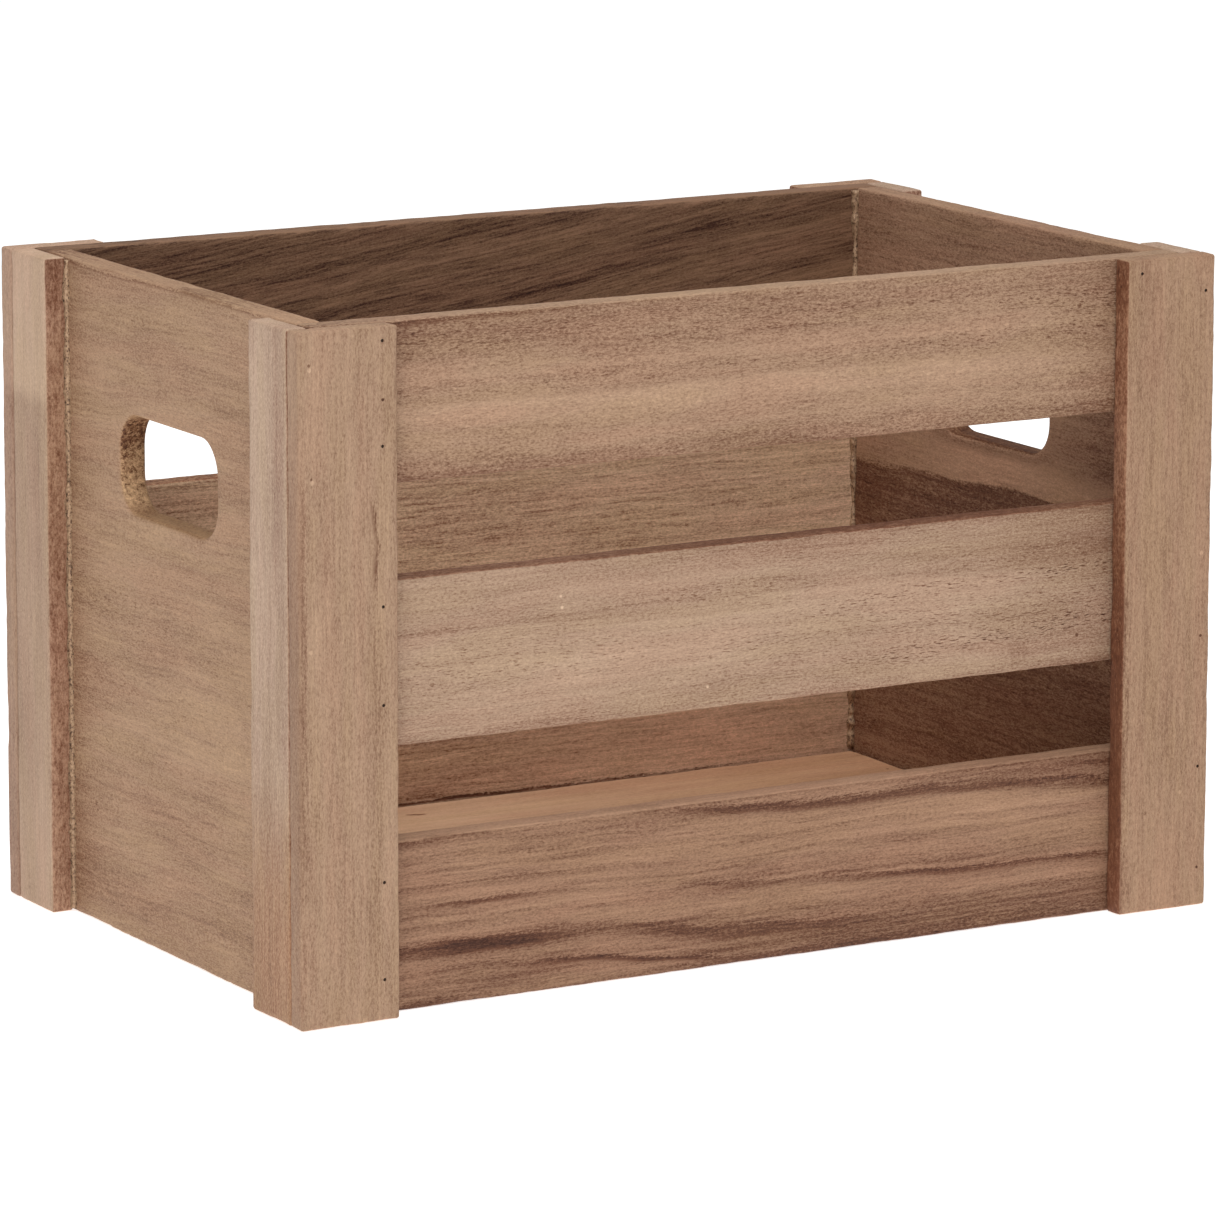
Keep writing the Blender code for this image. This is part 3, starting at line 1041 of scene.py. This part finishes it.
def add_glue(name, corner, toward, bottom, top, material):
    """A thin, ragged bead up a corner.

    toward is the side of the corner that it lies on, as -1 or 1 in x and y.
    """
    shape = bmesh.new()
    rings = []
    steps = round((top - bottom) / GLUE_STEP)
    for step in range(steps + 1):
        z = bottom + (top - bottom) * step / steps
        coarse = noise.noise(Vector((corner[0] * 50, corner[1] * 50, z * 90)))
        fine = noise.noise(Vector((corner[0] * 50, corner[1] * 50, z * 700)))
        width = GLUE_WIDTH * max(0.4, 0.8 + 0.5 * coarse + 0.35 * fine)
        reaches = ((-GLUE_TUCK, -GLUE_TUCK), (width, -GLUE_TUCK), (-GLUE_TUCK, width))
        ring = [(corner[0] + toward[0] * x, corner[1] + toward[1] * y, z) for x, y in reaches]
        rings.append([shape.verts.new(point) for point in ring])
    for lower, upper in zip(rings, rings[1:]):
        for i in range(3):
            shape.faces.new((lower[i - 1], lower[i], upper[i], upper[i - 1]))
    shape.faces.new(rings[0])
    shape.faces.new(rings[-1])
    bmesh.ops.recalc_face_normals(shape, faces=shape.faces[:])
    bead = add_object(name, mesh_of(name, shape))
    bead.data.materials.append(material)
    bead.data.shade_smooth()
    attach(bead, "root")


def add_glue_beads():
    """Squeezed-out glue: beside the back left side strip, and where the back slats meet the right panel."""
    material = glue_material()
    toward = (-1, -1)
    floor_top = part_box("floor_board")[1].z
    strip_low, strip_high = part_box("side_strip_back_left")
    corner = (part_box("end_panel_left")[0].x, strip_low.y)
    bottom, top = strip_low.z + MM, strip_high.z - MM
    add_glue("glue_side_strip_back_left", corner, toward, bottom, top, material)
    for level in ("bottom", "middle", "top"):
        slat_low, slat_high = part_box(f"slat_back_{level}")
        corner = (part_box("end_panel_right")[0].x, slat_low.y)
        bottom, top = max(slat_low.z, floor_top) + MM, slat_high.z - MM
        add_glue(f"glue_slat_back_{level}", corner, toward, bottom, top, material)


def finish_brads():
    """The brads keep their CAD shape and get the dull steel."""
    steel = steel_material()
    for name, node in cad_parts.items():
        if "brad" in name:
            node.material_slots[0].material = steel


# ---------------------------------------------------------------- studio

FLOOR_REACH = 12.0
FLOOR_DROP = 0.0002
FLOOR_GLOW = 0.72
WORLD_LIGHT = 0.30

LAMP_AIM = (0.0, 0.0, 0.12)

# Each lamp's place, width and power.
LAMPS = {
    "key": ((-0.9, -1.6, 1.8), 1.0, 15.0),
    "overhead": ((-0.3, -0.3, 1.9), 1.2, 18.0),
}


def add_stage():
    """A white floor, slightly lit from within so that it stays white round the crate."""
    shape = bmesh.new()
    bmesh.ops.create_grid(shape, x_segments=1, y_segments=1, size=FLOOR_REACH)
    floor = add_object("studio_floor", mesh_of("studio_floor", shape))
    floor.location.z = -FLOOR_DROP
    graph = Graph("studio_white")
    inputs = {
        "Base Color": (0.92, 0.92, 0.92, 1.0),
        "Roughness": 0.9,
        "Specular IOR Level": 0.1,
        "Emission Color": (1.0, 1.0, 1.0, 1.0),
        "Emission Strength": FLOOR_GLOW,
    }
    shader = graph.node("ShaderNodeBsdfPrincipled", inputs)
    output = graph.node("ShaderNodeOutputMaterial")
    graph.tree.links.new(shader.outputs[0], output.inputs["Surface"])
    floor.data.materials.append(graph.material)


def add_area_light(name, place, size, power):
    """A soft square lamp that points at the crate's middle."""
    lamp = bpy.data.lights.new(name, "AREA")
    lamp.size = size
    lamp.energy = power
    light = bpy.data.objects.new(name, lamp)
    bpy.context.scene.collection.objects.link(light)
    light.location = place
    toward = Vector(LAMP_AIM) - Vector(place)
    light.rotation_euler = toward.to_track_quat("-Z", "Y").to_euler()


def add_world():
    """Even white light all round, a little brighter where the camera sees the background itself."""
    world = bpy.data.worlds.new("studio")
    world.use_nodes = True
    tree = world.node_tree
    light_path = tree.nodes.new("ShaderNodeLightPath")
    strength = tree.nodes.new("ShaderNodeMapRange")
    strength.inputs["To Min"].default_value = WORLD_LIGHT
    strength.inputs["To Max"].default_value = 1.0
    background = tree.nodes["Background"]
    background.inputs["Color"].default_value = (1.0, 1.0, 1.0, 1.0)
    tree.links.new(light_path.outputs["Is Camera Ray"], strength.inputs["Value"])
    tree.links.new(strength.outputs["Result"], background.inputs["Strength"])
    bpy.context.scene.world = world


def add_studio():
    add_stage()
    add_world()
    for name, lamp in LAMPS.items():
        add_area_light(name, *lamp)
    bpy.context.scene.view_settings.view_transform = "Standard"


add_camera()
add_boards()
add_glue_beads()
finish_brads()
add_studio()
